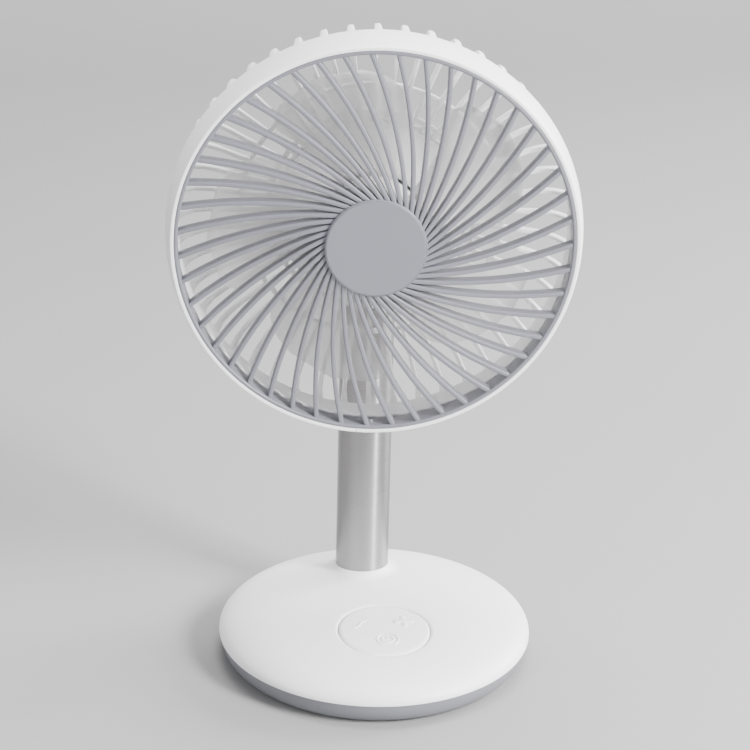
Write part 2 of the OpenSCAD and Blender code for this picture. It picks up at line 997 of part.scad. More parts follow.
module rotor_bell() {
    color(steel)
    at_head()
        difference() {
            translate([0, 0, bell_back])
                cylinder(r = bell_r, h = bell_front - bell_back);
            translate([0, 0, bell_back - 1])
                cylinder(r = bell_r - bell_wall, h = bell_front - bell_back - 0.4);
            translate([0, 0, bell_back])
                cylinder(r = shaft_r, h = 40);
        }
}

module magnet_ring() {
    color(black)
    at_head()
        ring(bell_r - bell_wall, bell_r - bell_wall - magnet_t, stator_back - 0.2, stator_back + stator_t + 0.2);
}

fan_back = housing_front + 1.4;
fan_front = -11.5;
fan_wall = 1.6;
nut_h = 4;

module motor_shaft() {
    color(steel)
    at_head()
        translate([0, 0, motor_z + 1])
            cylinder(r = shaft_r, h = fan_front + nut_h - 0.6 - motor_z - 1);
}

blade_mid = (fan_front + fan_back) / 2 - 0.6;
blade_camber_r = 58;
blade_angle = 360 / blade_count;
blade_rest = 24;                         // where the first blade stands

// Plan of one blade: a sector with a rounded leading corner
module blade_plan() {
    intersection() {
        circle(r = blade_r);
        translate([blade_r * 0.44, 4])
            circle(r = blade_r * 0.56);
        translate([0, -blade_r * 0.45])
            square([blade_r, blade_r]);
    }
}

module blade() {
    intersection() {
        translate([0, 0, -30])
            linear_extrude(60)
                blade_plan();
        rotate([blade_pitch, 0, 0])
            translate([0, 0, -blade_camber_r])
                rotate([0, 90, 0])
                    difference() {
                        cylinder(r = blade_camber_r + blade_t / 2, h = 2 * blade_r);
                        translate([0, 0, -1])
                            cylinder(r = blade_camber_r - blade_t / 2, h = 2 * blade_r + 2);
                    }
        translate([0, 0, -7.6])
            cylinder(r = blade_r, h = 15.2);
    }
}

module impeller() {
    color(milky)
    at_head()
        difference() {
            union() {
                difference() {
                    rotate_extrude()
                        polygon([
                            [0, fan_back], [fan_hub_r, fan_back], [fan_hub_r, fan_front - 2.5],
                            [fan_hub_r - 1, fan_front - 0.8], [fan_hub_r - 3, fan_front], [0, fan_front]
                        ]);
                    translate([0, 0, fan_back - 1])
                        cylinder(r = fan_hub_r - fan_wall, h = fan_front - fan_back - 0.8);
                }
                translate([0, 0, fan_back])
                    cylinder(r = 4.6, h = fan_front - fan_back - 1);
                difference() {
                    for (i = [0 : blade_count - 1])
                        rotate(blade_rest + i * blade_angle)
                            translate([0, 0, blade_mid])
                                blade();
                    translate([0, 0, fan_back - 20])
                        cylinder(r = fan_hub_r - 0.6, h = 60);
                }
            }
            translate([0, 0, fan_back - 1])
                cylinder(r = shaft_r, h = 60);
        }
}

module spinner_nut() {
    color(milky)
    at_head()
        difference() {
            union() {
                translate([0, 0, fan_front])
                    cylinder(r = 5.5, h = 1.2);
                translate([0, 0, fan_front])
                    cylinder(r = 4, h = nut_h, $fn = 6);
            }
            translate([0, 0, fan_front - 1])
                cylinder(r = shaft_r, h = nut_h + 0.6);
        }
}

// ---------- back of the head ----------
cover_back = -head_d + 0.3 - cover_d;

module rear_cover() {
    color(white)
    difference() {
        union() {
            at_head()
                difference() {
                    rotate_extrude()
                        polygon([
                            [0, cover_back], [cover_r - 4, cover_back], [cover_r - 1, cover_back + 1.6],
                            [cover_r, -head_d + 0.3], [0, -head_d + 0.3]
                        ]);
                    translate([0, 0, cover_back + 1.8])
                        cylinder(r = 17, h = 10);
                }
            // web and lug that reach back to the pin
            at_pin() {
                bar_x(lug_r, -lug_w / 2, lug_w / 2);
                translate([-lug_w / 2, -head_reach - cover_back - 0.5, -lug_r])
                    cube([lug_w, head_reach + cover_back + 0.5, 2 * lug_r]);
            }
        }
        at_pin()
            bar_x(pin_r + run, -20, 20);
        // channel for the motor lead
        at_head()
            translate([0, 0, cover_back - 4])
                cylinder(r = lead_r + 0.2, h = 8);
        at_head()
            cover_screw_holes(cover_back - 1, 8, 1.2);
        at_head()
            cover_screw_holes(cover_back - 1, 2.2, 2.2);
    }
}

module cover_screws() {
    color(steel)
    at_head()
        for (a = cover_screw_angles)
            rotate(a)
                translate([cover_screw_ring, 0, cover_back + 1.2])
                    screw(cover_d - 1.2 + disc_t - 0.2, 0.85, 2, 0.8);
}

module head_lead() {
    color(black)
    at_head()
        translate([0, 0, cover_back - 2.5])
            cylinder(r = lead_r, h = motor_z - cover_back + 2);
}

front_grille();
hub_cap();
shroud_ring();
guard_band();
guard_cage();
motor_housing();
rear_cover();
motor_base();
motor_bearings();
stator_core();
stator_coils();
motor_board();
housing_screws();
motor_screws();
cover_screws();
grille_screw();
head_lead();
impeller();
spinner_nut();
motor_shaft();
rotor_bell();
magnet_ring();
neck_fork();
tilt_pin();
tilt_nut();
tilt_washers();
swivel_clip();
pole_tube();
swivel_bush();
pole_foot();
foot_screws();
pole_lead();
base_top();
base_bottom();
weight_plate();
battery_pack();
control_board();
switch_bodies();
charge_board();
usb_socket();
rubber_ring();
base_screws();
board_screws();
key_plate();
switch_caps();
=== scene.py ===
"""Desk fan: smooth shells, grille, guard, impeller and finishes round the packed part."""

import json
import math

import bmesh
import bpy
from bpy.props import FloatProperty, FloatVectorProperty, IntProperty, PointerProperty
from mathutils import Matrix, Vector


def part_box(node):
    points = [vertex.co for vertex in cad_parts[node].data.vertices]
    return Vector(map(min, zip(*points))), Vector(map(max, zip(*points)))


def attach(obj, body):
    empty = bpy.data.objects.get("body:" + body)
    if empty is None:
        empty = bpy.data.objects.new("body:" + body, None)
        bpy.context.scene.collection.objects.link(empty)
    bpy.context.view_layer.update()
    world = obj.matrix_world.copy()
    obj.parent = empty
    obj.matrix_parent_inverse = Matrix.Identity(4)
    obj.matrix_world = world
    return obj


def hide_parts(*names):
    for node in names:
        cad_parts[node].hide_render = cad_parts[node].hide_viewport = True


bl_info = {
    "name": "Desk Fan",
    "version": (1, 0, 0),
    "blender": (4, 5, 0),
    "location": "3D View > Sidebar > Desk Fan",
    "description": "Builds the looks of a desk fan round its packed frame",
    "category": "Add Mesh",
}

MM = 0.001

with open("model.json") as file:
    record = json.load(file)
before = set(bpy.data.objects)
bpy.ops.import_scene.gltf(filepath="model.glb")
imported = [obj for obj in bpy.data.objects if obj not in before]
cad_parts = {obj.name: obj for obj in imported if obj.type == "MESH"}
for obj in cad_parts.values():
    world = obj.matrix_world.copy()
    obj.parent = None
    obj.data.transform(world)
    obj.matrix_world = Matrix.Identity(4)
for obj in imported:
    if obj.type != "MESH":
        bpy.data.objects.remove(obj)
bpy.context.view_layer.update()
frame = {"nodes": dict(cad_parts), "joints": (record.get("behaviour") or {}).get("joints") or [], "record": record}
NODES = frame["nodes"]
JOINTS = {joint["name"]: joint for joint in frame["joints"]}

# ---------- places read from the frame ----------

PIN = Vector(JOINTS["head_tilt"]["pos_m"])
FRONT = Vector(JOINTS["impeller_spin"]["axis"]).normalized()
SIDE = -Vector(JOINTS["head_tilt"]["axis"]).normalized()
UP = Vector((0, 0, 1))


def furthest(node, direction, origin):
    """Furthest distance of a node's points from a place along a direction."""
    return max((v.co - origin).dot(direction) for v in NODES[node].data.vertices)


def turned_frame(x, y, z, origin):
    """Matrix whose columns are the given axes, with its origin at a point."""
    place = Matrix((x, y, z)).transposed().to_4x4()
    place.translation = origin
    return place


# In the head's own frame the front rim lies at z = 0 and z grows towards the front
HEAD = turned_frame(SIDE, UP, FRONT, PIN + FRONT * furthest("shroud_ring", FRONT, PIN))
HEAD_INVERSE = HEAD.inverted()


def head_span(*nodes):
    """(inner radius, outer radius, lowest z, highest z) of some nodes in the head's frame."""
    points = [HEAD_INVERSE @ v.co for node in nodes for v in NODES[node].data.vertices]
    radii = [math.hypot(p.x, p.y) for p in points]
    heights = [p.z for p in points]
    return min(radii), max(radii), min(heights), max(heights)


BASE_LOW, BASE_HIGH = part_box("base_top")
BOWL_LOW, BOWL_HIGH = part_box("base_bottom")
KEY_LOW, KEY_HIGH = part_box("key_plate")
POLE_LOW, POLE_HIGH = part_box("pole_tube")
BASE_R = BASE_HIGH.y
POLE_Y = (POLE_LOW.y + POLE_HIGH.y) / 2
POLE_R = (POLE_HIGH.x - POLE_LOW.x) / 2
KEY_Y = (KEY_LOW.y + KEY_HIGH.y) / 2
KEY_R = (KEY_HIGH.x - KEY_LOW.x) / 2


# ---------- sizes and colours ----------


def length(name, description, millimetres, low, high):
    """A length property given in millimetres and kept in metres."""
    return FloatProperty(
        name=name, description=description, default=millimetres * MM, min=low * MM,
        max=high * MM, unit="LENGTH", precision=4,
    )


def turning(name, description, degrees):
    """An angle property given in degrees and kept in radians."""
    return FloatProperty(
        name=name, description=description, default=math.radians(degrees), subtype="ANGLE"
    )


def tint(name, description, value):
    """A colour property."""
    return FloatVectorProperty(
        name=name, description=description, default=value, size=3, min=0.0, max=1.0, subtype="COLOR",
    )


class BaseSizes(bpy.types.PropertyGroup):
    """Sizes of the two base shells"""

    dome_height: length("Dome height", "Height of the middle of the dome above the table", 25.4, 20, 32)
    seam_height: length("Seam height", "Height of the line where the shells meet", 11.4, 9, 14)
    roundness: FloatProperty(
        name="Roundness", description="Exponent of the dome's outline", default=2.3, min=2.0, max=3.0
    )
    wall: length("Wall", "Wall of both shells", 2.0, 1.6, 2.6)
    collar_rise: length("Collar rise", "How far the collar stands up round the pole", 3.2, 1, 4)
    collar_width: length("Collar width", "How far the collar reaches out", 6.0, 3, 8)


class KeySizes(bpy.types.PropertyGroup):
    """Sizes of the round key plate"""

    gap: length("Gap", "Gap round the plate", 0.35, 0.2, 0.6)
    groove: length("Groove", "Width of each side of the soft groove round the plate", 1.6, 0.6, 2.5)
    groove_depth: length("Groove depth", "Depth of the soft groove", 0.6, 0.2, 1.0)
    sign_side: length("Sign offset", "Distance of the upper signs to the side", 10.5, 8, 13)
    sign_back: length("Sign height", "Distance of the upper signs behind the plate's middle", 5.2, 3, 8)
    sign_front: length("Lower sign", "Distance of the lower sign in front of the middle", 9.0, 6, 12)
    sign_size: length("Sign size", "Length of a sign's bar", 9.5, 5, 12)
    bar_width: length("Bar width", "Width of the bars of the plus", 2.9, 1, 4)
    line_width: length("Line width", "Width of a raised line", 0.9, 0.5, 1.5)
    sign_rise: length("Sign rise", "How far a sign stands up", 0.35, 0.1, 0.6)


class GrilleSizes(bpy.types.PropertyGroup):
    """Sizes of the front grille"""

    count: IntProperty(name="Ribs", description="Number of swirl ribs", default=47, min=30, max=60)
    width: length("Rib width", "Width of a swirl rib", 2.0, 1.2, 2.4)
    depth: length("Rib depth", "Depth of a swirl rib", 5.4, 3, 7)
    corner: length("Rib corner", "Rounding of a rib's edges", 0.55, 0.2, 0.9)
    sweep: turning("Sweep", "Angle that a rib goes round", 39)
    turn: turning("Turn", "Angle that a rib turns along its length", 20)
    ring_wall: length("Ring wall", "Thickness of the grey ring", 1.7, 1.2, 2.5)


class GuardSizes(bpy.types.PropertyGroup):
    """Sizes of the shroud and the rear guard"""

    lip: length("Lip", "White edge that shows round the grille", 1.7, 1.2, 3)
    flare: length("Flare", "How far the shroud widens towards the back", 2.5, 2, 4)
    count: IntProperty(name="Ribs", description="Number of rear ribs", default=48, min=36, max=60)
    rib_depth: length("Rib depth", "Depth of a rear rib", 3.6, 2.5, 4.5)
    rib_root: length("Rib root", "Width of a rib where it leaves the shroud", 4.4, 3, 5.5)
    rib_tip: length("Rib tip", "Width of a rib on the flat back", 1.9, 1.4, 2.6)
    corner: length("Corner", "Radius of the rounded rear corner", 18, 10, 19)
    band_wall: length("Band wall", "Thickness of the band inside the shroud", 1.7, 1.2, 2.5)
    ring_a: length("Outer ring", "Radius of the larger thin ring", 58.2, 54, 62)
    ring_b: length("Inner ring", "Radius of the smaller thin ring", 46, 45.6, 50)
    ring_width: length("Ring width", "Width of a thin ring", 2.1, 1.4, 3)


class ImpellerSizes(bpy.types.PropertyGroup):
    """Sizes of the impeller"""

    count: IntProperty(name="Blades", description="Number of blades", default=5, min=3, max=7)
    wall: length("Blade thickness", "Thickness of a blade at its root", 1.4, 1, 2)
    start: turning("Start", "Where the first blade stands", 24)


class Finishes(bpy.types.PropertyGroup):
    """Colours of the visible finishes"""

    shell: tint("Shell", "White moulded shells", (0.88, 0.873, 0.88))
    grille: tint("Grille", "Grey moulded grille", (0.165, 0.165, 0.19))
    bowl: tint("Bowl", "Grey lower shell", (0.17, 0.171, 0.19))
    key: tint("Key plate", "White key plate", (0.90, 0.893, 0.90))
    blade: tint("Blades", "Milky blades", (0.92, 0.90, 0.88))
    pole: tint("Pole", "Brushed aluminium", (0.33, 0.32, 0.32))


class StageSizes(bpy.types.PropertyGroup):
    """Camera, light and floor"""

    camera_place: FloatVectorProperty(
        name="Camera place", description="Where the camera stands",
        default=(-0.19245, -1.05307, 0.60945), size=3, subtype="TRANSLATION", unit="LENGTH",
    )
    azimuth: turning("Azimuth", "Turn of the camera about Z", -10.226)
    elevation: turning("Elevation", "How far the camera looks down", 23.663)
    roll: turning("Roll", "Lean of the camera", 1.4)
    lens: FloatProperty(
        name="Lens", description="Focal length in millimetres", default=124.8, min=20, max=400
    )
    gain: FloatProperty(
        name="Light gain", description="Factor on every light", default=1.5, min=0.05, max=4
    )
    floor_tone: tint("Floor", "Pale floor", (0.30, 0.298, 0.296))


# ---------- mesh helpers ----------


def rounded(corners, steps=5):
    """Closed outline of (r, z, rounding) corners with each corner rounded off."""
    points = []
    for i, (r, z, rounding) in enumerate(corners):
        here = Vector((r, z))
        before = Vector(corners[i - 1][:2]) - here
        after = Vector(corners[(i + 1) % len(corners)][:2]) - here
        half = before.angle(after) / 2
        if rounding <= 0 or abs(half - math.pi / 2) < 1e-3:
            points.append((r, z))
            continue
        cut = min(rounding / math.tan(half), 0.49 * before.length, 0.49 * after.length)
        centre = here + (before.normalized() + after.normalized()).normalized() * (cut / math.cos(half))
        first = here + before.normalized() * cut - centre
        last = here + after.normalized() * cut - centre
        swing = first.angle_signed(last)
        for k in range(steps + 1):
            a = -swing * k / steps
            points.append((
                centre.x + first.x * math.cos(a) - first.y * math.sin(a),
                centre.y + first.x * math.sin(a) + first.y * math.cos(a),
            ))
    return points


def lathe(outline, steps=160, closed=True):
    """Vertices and faces of an outline of (r, z) turned about Z.

    An outline that isn't closed starts and ends on the axis.
    """
    verts, rings = [], []
    for r, z in outline:
        if r < 1e-7:
            rings.append([len(verts)] * steps)
            verts.append((0, 0, z))
        else:
            rings.append(list(range(len(verts), len(verts) + steps)))
            turns = [math.tau * k / steps for k in range(steps)]
            verts += [(r * math.cos(a), r * math.sin(a), z) for a in turns]
    faces = []
    pairs = list(zip(rings, rings[1:])) + ([(rings[-1], rings[0])] if closed else [])
    for low, high in pairs:
        for k in range(steps):
            n = (k + 1) % steps
            face = []
            for corner in (low[k], low[n], high[n], high[k]):
                if corner not in face:
                    face.append(corner)
            if len(face) > 2:
                faces.append(face)
    return verts, faces


def skin(sections, closed_sections=True, closed_round=True):
    """Vertices and faces through cross-sections of equal size."""
    size, count = len(sections[0]), len(sections)
    verts = [tuple(p) for section in sections for p in section]
    faces = []
    for s in range(count if closed_round else count - 1):
        t = (s + 1) % count
        for k in range(size if closed_sections else size - 1):
            n = (k + 1) % size
            faces.append([s * size + k, s * size + n, t * size + n, t * size + k])
    return verts, faces


def loft(sections):
    """Vertices and faces through closed cross-sections, capped at both ends."""
    verts, faces = skin(sections, closed_round=False)
    size = len(sections[0])
    faces.append(list(range(size)))
    faces.append(list(range(len(verts) - size, len(verts))))
    return verts, faces


def joined(*shapes):
    """Several (vertices, faces) as one."""
    verts, faces = [], []
    for more_verts, more_faces in shapes:
        faces += [[i + len(verts) for i in face] for face in more_faces]
        verts += more_verts
    return verts, faces


def moved(shape, place):
    """A shape with its points put through a matrix."""
    return [tuple(place @ Vector(v)) for v in shape[0]], shape[1]


def mesh_of(name, shape):
    """A mesh with its doubles merged and its faces pointing outwards."""
    mesh = bpy.data.meshes.new(name)
    mesh.from_pydata(shape[0], [], shape[1])
    work = bmesh.new()
    work.from_mesh(mesh)
    bmesh.ops.remove_doubles(work, verts=work.verts, dist=1e-7)
    bmesh.ops.recalc_face_normals(work, faces=work.faces)
    work.to_mesh(mesh)
    work.free()
    return mesh


def smooth(mesh, angle=35):
    """Smooth shading that keeps edges sharper than an angle in degrees."""
    mesh.polygons.foreach_set("use_smooth", [True] * len(mesh.polygons))
    mesh.set_sharp_from_angle(angle=math.radians(angle))


def finished(name, mesh, body, finish, nodes=(), angle=35):
    """Puts a mesh in the scene as a piece that rides a body and stands for CAD nodes."""
    smooth(mesh, angle)
    mesh.materials.clear()
    mesh.materials.append(material(finish))
    piece = bpy.data.objects.new(name, mesh)
    bpy.context.scene.collection.objects.link(piece)
    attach(piece, body)
    if nodes:
        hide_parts(*nodes)
    return piece


def evaluated(mesh, modify):
    """The mesh after modify(object) has added modifiers to a temporary object that holds it."""
    holder = bpy.data.objects.new("work", mesh)
    bpy.context.scene.collection.objects.link(holder)
    helpers = modify(holder) or []
    graph = bpy.context.evaluated_depsgraph_get()
    result = bpy.data.meshes.new_from_object(holder.evaluated_get(graph), depsgraph=graph)
    for helper in [holder, *helpers]:
        bpy.data.objects.remove(helper)
    return result


def cut(mesh, *cutters):
    """The mesh with solid shapes taken away."""

    def modify(holder):
        helpers = []
        for shape in cutters:
            helper = bpy.data.objects.new("cutter", mesh_of("cutter", shape))
            bpy.context.scene.collection.objects.link(helper)
            boolean = holder.modifiers.new("cut", "BOOLEAN")
            boolean.operation, boolean.solver, boolean.object = "DIFFERENCE", "EXACT", helper
            helpers.append(helper)
        return helpers

    return evaluated(mesh, modify)


def drum(radius, low, high, x=0.0, y=0.0, steps=96):
    """A closed cylinder, to cut with."""
    shape = lathe([(0, low), (radius, low), (radius, high), (0, high)], steps, closed=False)
    return moved(shape, Matrix.Translation((x, y, 0)))


def slab(low, high):
    """A closed box between two corners, to cut with."""
    (x0, y0, z0), (x1, y1, z1) = low, high
    section = [(x0, y0), (x1, y0), (x1, y1), (x0, y1)]
    return loft([[(x, y, z) for x, y in section] for z in (z0, z1)])


# ---------- geometry node trees ----------


def add(tree, kind, inputs=None, **settings):
    """A new node with some settings, and with links or values for some of its inputs."""
    node = tree.nodes.new(kind)
    for name, value in settings.items():
        setattr(node, name, value)
    for socket, value in (inputs or {}).items():
        if isinstance(value, bpy.types.NodeSocket):
            tree.links.new(value, node.inputs[socket])
        else:
            node.inputs[socket].default_value = value
    return node


def new_tree(name, inputs):
    """A geometry node tree with named inputs, and what its inputs give."""
    tree = bpy.data.node_groups.new(name, "GeometryNodeTree")
    for label, kind in inputs.items():
        tree.interface.new_socket(label, in_out="INPUT", socket_type=f"NodeSocket{kind}")
    tree.interface.new_socket("Geometry", in_out="OUTPUT", socket_type="NodeSocketGeometry")
    return tree, add(tree, "NodeGroupInput").outputs


def turn_about_axis(tree, given, shape):
    """Ends a tree: repeats a shape about Z, makes it real and gives it its material."""
    points = add(tree, "GeometryNodePoints", {"Count": given["Count"]})
    index = add(tree, "GeometryNodeInputIndex")
    share = add(
        tree, "ShaderNodeMath", {0: index.outputs[0], 1: given["Count"]}, operation="DIVIDE"
    )
    angle = add(
        tree, "ShaderNodeMath", {0: share.outputs[0], 1: math.tau, 2: given["Start angle"]},
        operation="MULTIPLY_ADD",
    )
    turn = add(tree, "ShaderNodeCombineXYZ", {"Z": angle.outputs[0]})
    rotation = add(tree, "FunctionNodeEulerToRotation", {0: turn.outputs[0]})
    copies = add(tree, "GeometryNodeInstanceOnPoints", {
        "Points": points.outputs[0], "Instance": shape, "Rotation": rotation.outputs[0],
    })
    real = add(tree, "GeometryNodeRealizeInstances", {0: copies.outputs[0]})
    paint = {"Geometry": real.outputs[0], "Material": given["Finish"]}
    add(tree, "NodeGroupOutput", {0: add(tree, "GeometryNodeSetMaterial", paint).outputs[0]})


def repeat_tree():
    """Tree that repeats the object's own mesh about Z."""
    tree, given = new_tree("Repeat about the axis", {
        "Geometry": "Geometry", "Count": "Int", "Start angle": "Float", "Finish": "Material",
    })
    turn_about_axis(tree, given, given["Geometry"])
    return tree


def swirl_tree():
    """Tree that sweeps one curved rib between two points and repeats it about Z."""
    tree, given = new_tree("Swirl ribs", {
        "Geometry": "Geometry", "From": "Vector", "Through": "Vector", "To": "Vector",
        "Width": "Float", "Depth": "Float", "Corner": "Float", "Count": "Int",
        "Start angle": "Float", "Finish": "Material",
    })
    arc = add(tree, "GeometryNodeCurveArc", {
        "Start": given["From"], "Middle": given["Through"], "End": given["To"], "Resolution": 28,
    }, mode="POINTS")
    upright = add(tree, "GeometryNodeSetCurveNormal", {"Curve": arc.outputs["Curve"]}, mode="Z_UP")
    section = add(tree, "GeometryNodeCurvePrimitiveQuadrilateral", {
        "Width": given["Width"], "Height": given["Depth"],
    })
    fillet = add(tree, "GeometryNodeFilletCurve", {
        "Curve": section.outputs[0], "Radius": given["Corner"], "Count": 3,
    }, mode="POLY")
    sweep = add(tree, "GeometryNodeCurveToMesh", {
        "Curve": upright.outputs[0], "Profile Curve": fillet.outputs[0], "Fill Caps": True,
    })
    turn_about_axis(tree, given, sweep.outputs[0])
    return tree


def through_tree(mesh, tree, values):
    """The mesh put through a geometry node tree whose inputs are set by their names."""
    keys = {item.name: item.identifier for item in tree.interface.items_tree if item.in_out == "INPUT"}

    def modify(holder):
        modifier = holder.modifiers.new("repeat", "NODES")
        modifier.node_group = tree
        for label, value in values.items():
            modifier[keys[label]] = value

    return evaluated(mesh, modify)


def repeated(shape, count, start, finish):
    """A shape repeated about Z."""
    values = {"Count": count, "Start angle": start, "Finish": material(finish)}
    return through_tree(mesh_of("single", shape), repeat_tree(), values)


# ---------- finishes ----------

GRAIN_SCALE = 900.0
GRAIN_DEPTH = 0.02 * MM


def shader_material(name):
    """A new node material and its shader."""
    made = bpy.data.materials.new(name)
    made.use_nodes = True
    return made, made.node_tree.nodes["Principled BSDF"]


def object_noise(made, scale, detail, stretch=(1, 1, 1)):
    """Noise on the object's own coordinates."""
    tree = made.node_tree
    place = add(tree, "ShaderNodeTexCoord").outputs["Object"]
    mapping = add(tree, "ShaderNodeMapping", {"Vector": place, "Scale": stretch})
    noise = {"Vector": mapping.outputs[0], "Scale": scale, "Detail": detail}
    return add(tree, "ShaderNodeTexNoise", noise).outputs["Fac"]


def vary_colour(made, shader, noise, colour, spread):
    """Links a colour that varies gently with noise."""
    ramp = add(made.node_tree, "ShaderNodeValToRGB", {"Fac": noise})
    low, high = ramp.color_ramp.elements
    low.position, high.position = 0.3, 0.7
    low.color = (*[c * (1 - spread) for c in colour], 1)
    high.color = (*[min(1, c * (1 + spread)) for c in colour], 1)
    made.node_tree.links.new(ramp.outputs["Color"], shader.inputs["Base Color"])


def vary_roughness(made, shader, noise, low, high):
    """Links a roughness that varies with noise."""
    spread = {"Value": noise, "To Min": low, "To Max": high}
    rough = add(made.node_tree, "ShaderNodeMapRange", spread).outputs["Result"]
    made.node_tree.links.new(rough, shader.inputs["Roughness"])


def add_grain(made, shader, noise, strength):
    """Links a fine bump."""
    grain = {"Height": noise, "Strength": strength, "Distance": GRAIN_DEPTH}
    bump = add(made.node_tree, "ShaderNodeBump", grain).outputs["Normal"]
    made.node_tree.links.new(bump, shader.inputs["Normal"])


def moulded(name, colour, roughness, grain=0.12, gloss=0.5):
    """Moulded plastic: faint mottling, fine grain and uneven sheen."""
    made, shader = shader_material(name)
    shader.inputs["Specular IOR Level"].default_value = gloss
    vary_colour(made, shader, object_noise(made, 35, 3), colour, 0.012)
    vary_roughness(made, shader, object_noise(made, 220, 4), roughness - 0.05, roughness + 0.05)
    add_grain(made, shader, object_noise(made, GRAIN_SCALE * 2, 2), grain)
    return made


def metal(name, colour, roughness, stretch=(1, 1, 1), scale=GRAIN_SCALE, spread=0.03, grain=0.1):
    """Metal with marks that run along the direction with the smallest stretch."""
    made, shader = shader_material(name)
    shader.inputs["Metallic"].default_value = 1.0
    marks = object_noise(made, scale, 4, stretch)
    vary_colour(made, shader, marks, colour, spread)
    vary_roughness(made, shader, marks, roughness - 0.06, roughness + 0.06)
    add_grain(made, shader, marks, grain)
    return made


def turned(made):
    """Gives a metal the shine of fine marks that run round the pole: it stretches along Z."""
    shader = made.node_tree.nodes["Principled BSDF"]
    shader.inputs["Anisotropic"].default_value = 0.9
    along = add(made.node_tree, "ShaderNodeCombineXYZ", {"Z": 1.0})
    made.node_tree.links.new(along.outputs[0], shader.inputs["Tangent"])
    return made


def milky(name, colour):
    """Thin milky plastic that lets some light through."""
    made, shader = shader_material(name)
    shader.inputs["Alpha"].default_value = 0.42
    shader.inputs["Roughness"].default_value = 0.35
    vary_colour(made, shader, object_noise(made, 30, 2), colour, 0.02)
    add_grain(made, shader, object_noise(made, GRAIN_SCALE, 2), 0.08)
    return made


def build_material(finish):
    """Makes the material for one of the record's finishes."""
    tints = bpy.context.scene.fan_finishes
    if finish == "milky_blade":
        return milky(finish, tints.blade)
    if finish == "pole_aluminium":
        brushed = {"stretch": (0.03, 0.03, 1), "scale": 3000, "spread": 0.05, "grain": 0.25}
        return turned(metal(finish, tints.pole, 0.3, **brushed))
    plastics = {
        "white_shell": (tints.shell, 0.42),
        "grey_grille": (tints.grille, 0.38),
        "grey_base": (tints.bowl, 0.45),
        "key_white": (tints.key, 0.32, 0.05),
        "milky_hub": (tints.blade, 0.35),
        "magnet_black": ((0.03, 0.03, 0.032), 0.55, 0.3),
        "circuit_board": ((0.02, 0.14, 0.05), 0.35, 0.3),
        "battery_wrap": ((0.08, 0.2, 0.45), 0.3),
        "rubber_pad": ((0.025, 0.025, 0.026), 0.8, 0.4, 0.3),
        "black_plastic": ((0.02, 0.02, 0.021), 0.5, 0.3),
    }
    metals = {
        "cast_foot": ((0.5, 0.5, 0.51), 0.5, (1, 1, 1), 300, 0.03, 0.3),
        "steel_part": ((0.72, 0.73, 0.74), 0.42, (1, 1, 1), 1200),
        "weight_iron": ((0.08, 0.08, 0.085), 0.6, (1, 1, 1), 400, 0.03, 0.4),
        "copper_wire": ((0.68, 0.3, 0.13), 0.35, (1, 0.1, 1), 2200, 0.03, 0.5),
    }
    if finish in metals:
        return metal(finish, *metals[finish])
    return moulded(finish, *plastics[finish])


def material(finish):
    """The material for a finish, made once."""
    name = f"{finish}_look"
    if name not in bpy.data.materials:
        build_material(finish).name = name
    return bpy.data.materials[name]


# ---------- base ----------


def dome_height(base, distance):
    """Height of the dome's outside at a distance from the middle."""
    share = max(0.0, 1 - (distance / BASE_R) ** base.roundness)
    return base.seam_height + (base.dome_height - base.seam_height) * share ** (1 / base.roundness)


def dome_outline(radius, height, base, steps=40):
    """Outline of a dome from its rim to its middle."""
    rise, power = height - base.seam_height, 2 / base.roundness
    points = []
    for i in range(steps):
        a = math.pi / 2 * i / steps
        points.append((radius * math.cos(a) ** power, base.seam_height + rise * math.sin(a) ** power))
    return points + [(0.0, base.seam_height + rise)]


def rim_patch(base, centre_y, inner, outer, drop, depth, steps=128, rows=14):
    """A closed ring round a hole in the dome.

    Its top follows the dome plus drop(distance from the hole), and its underside lies depth below.
    """
    spacing = 1.6
    reaches = [(outer - inner) * (i / rows) ** spacing for i in range(rows + 1)]
    rises = [(inner + reach, drop(reach)) for reach in reaches] + [(outer, -depth), (inner, -depth)]
    sections = []
    for k in range(steps):
        a = math.tau * k / steps
        section = []
        for rho, rise in rises:
            x, y = rho * math.cos(a), centre_y + rho * math.sin(a)
            section.append((x, y, dome_height(base, math.hypot(x, y)) + rise))
        sections.append(section)
    return skin(sections)


def groove_drop(key, reach):
    """How far a side of the groove lies below the dome at a distance from the gap."""
    return key.groove_depth * max(0.0, 1 - reach / key.groove) ** 2


def islands(node):
    """(centre x, centre y, radius, lowest z) of each loose part of a CAD node."""
    work = bmesh.new()
    work.from_mesh(NODES[node].data)
    bmesh.ops.remove_doubles(work, verts=work.verts, dist=1e-6)
    seen, found = set(), []
    for first in work.verts:
        if first in seen:
            continue
        seen.add(first)
        edge, part = [first], []
        while edge:
            vert = edge.pop()
            part.append(vert.co)
            for link in vert.link_edges:
                other = link.other_vert(vert)
                if other not in seen:
                    seen.add(other)
                    edge.append(other)
        low = Vector([min(p[k] for p in part) for k in range(3)])
        high = Vector([max(p[k] for p in part) for k in range(3)])
        middle = (low + high) / 2
        found.append((middle.x, middle.y, (high.x - low.x) / 2, low.z))
    work.free()
    return found


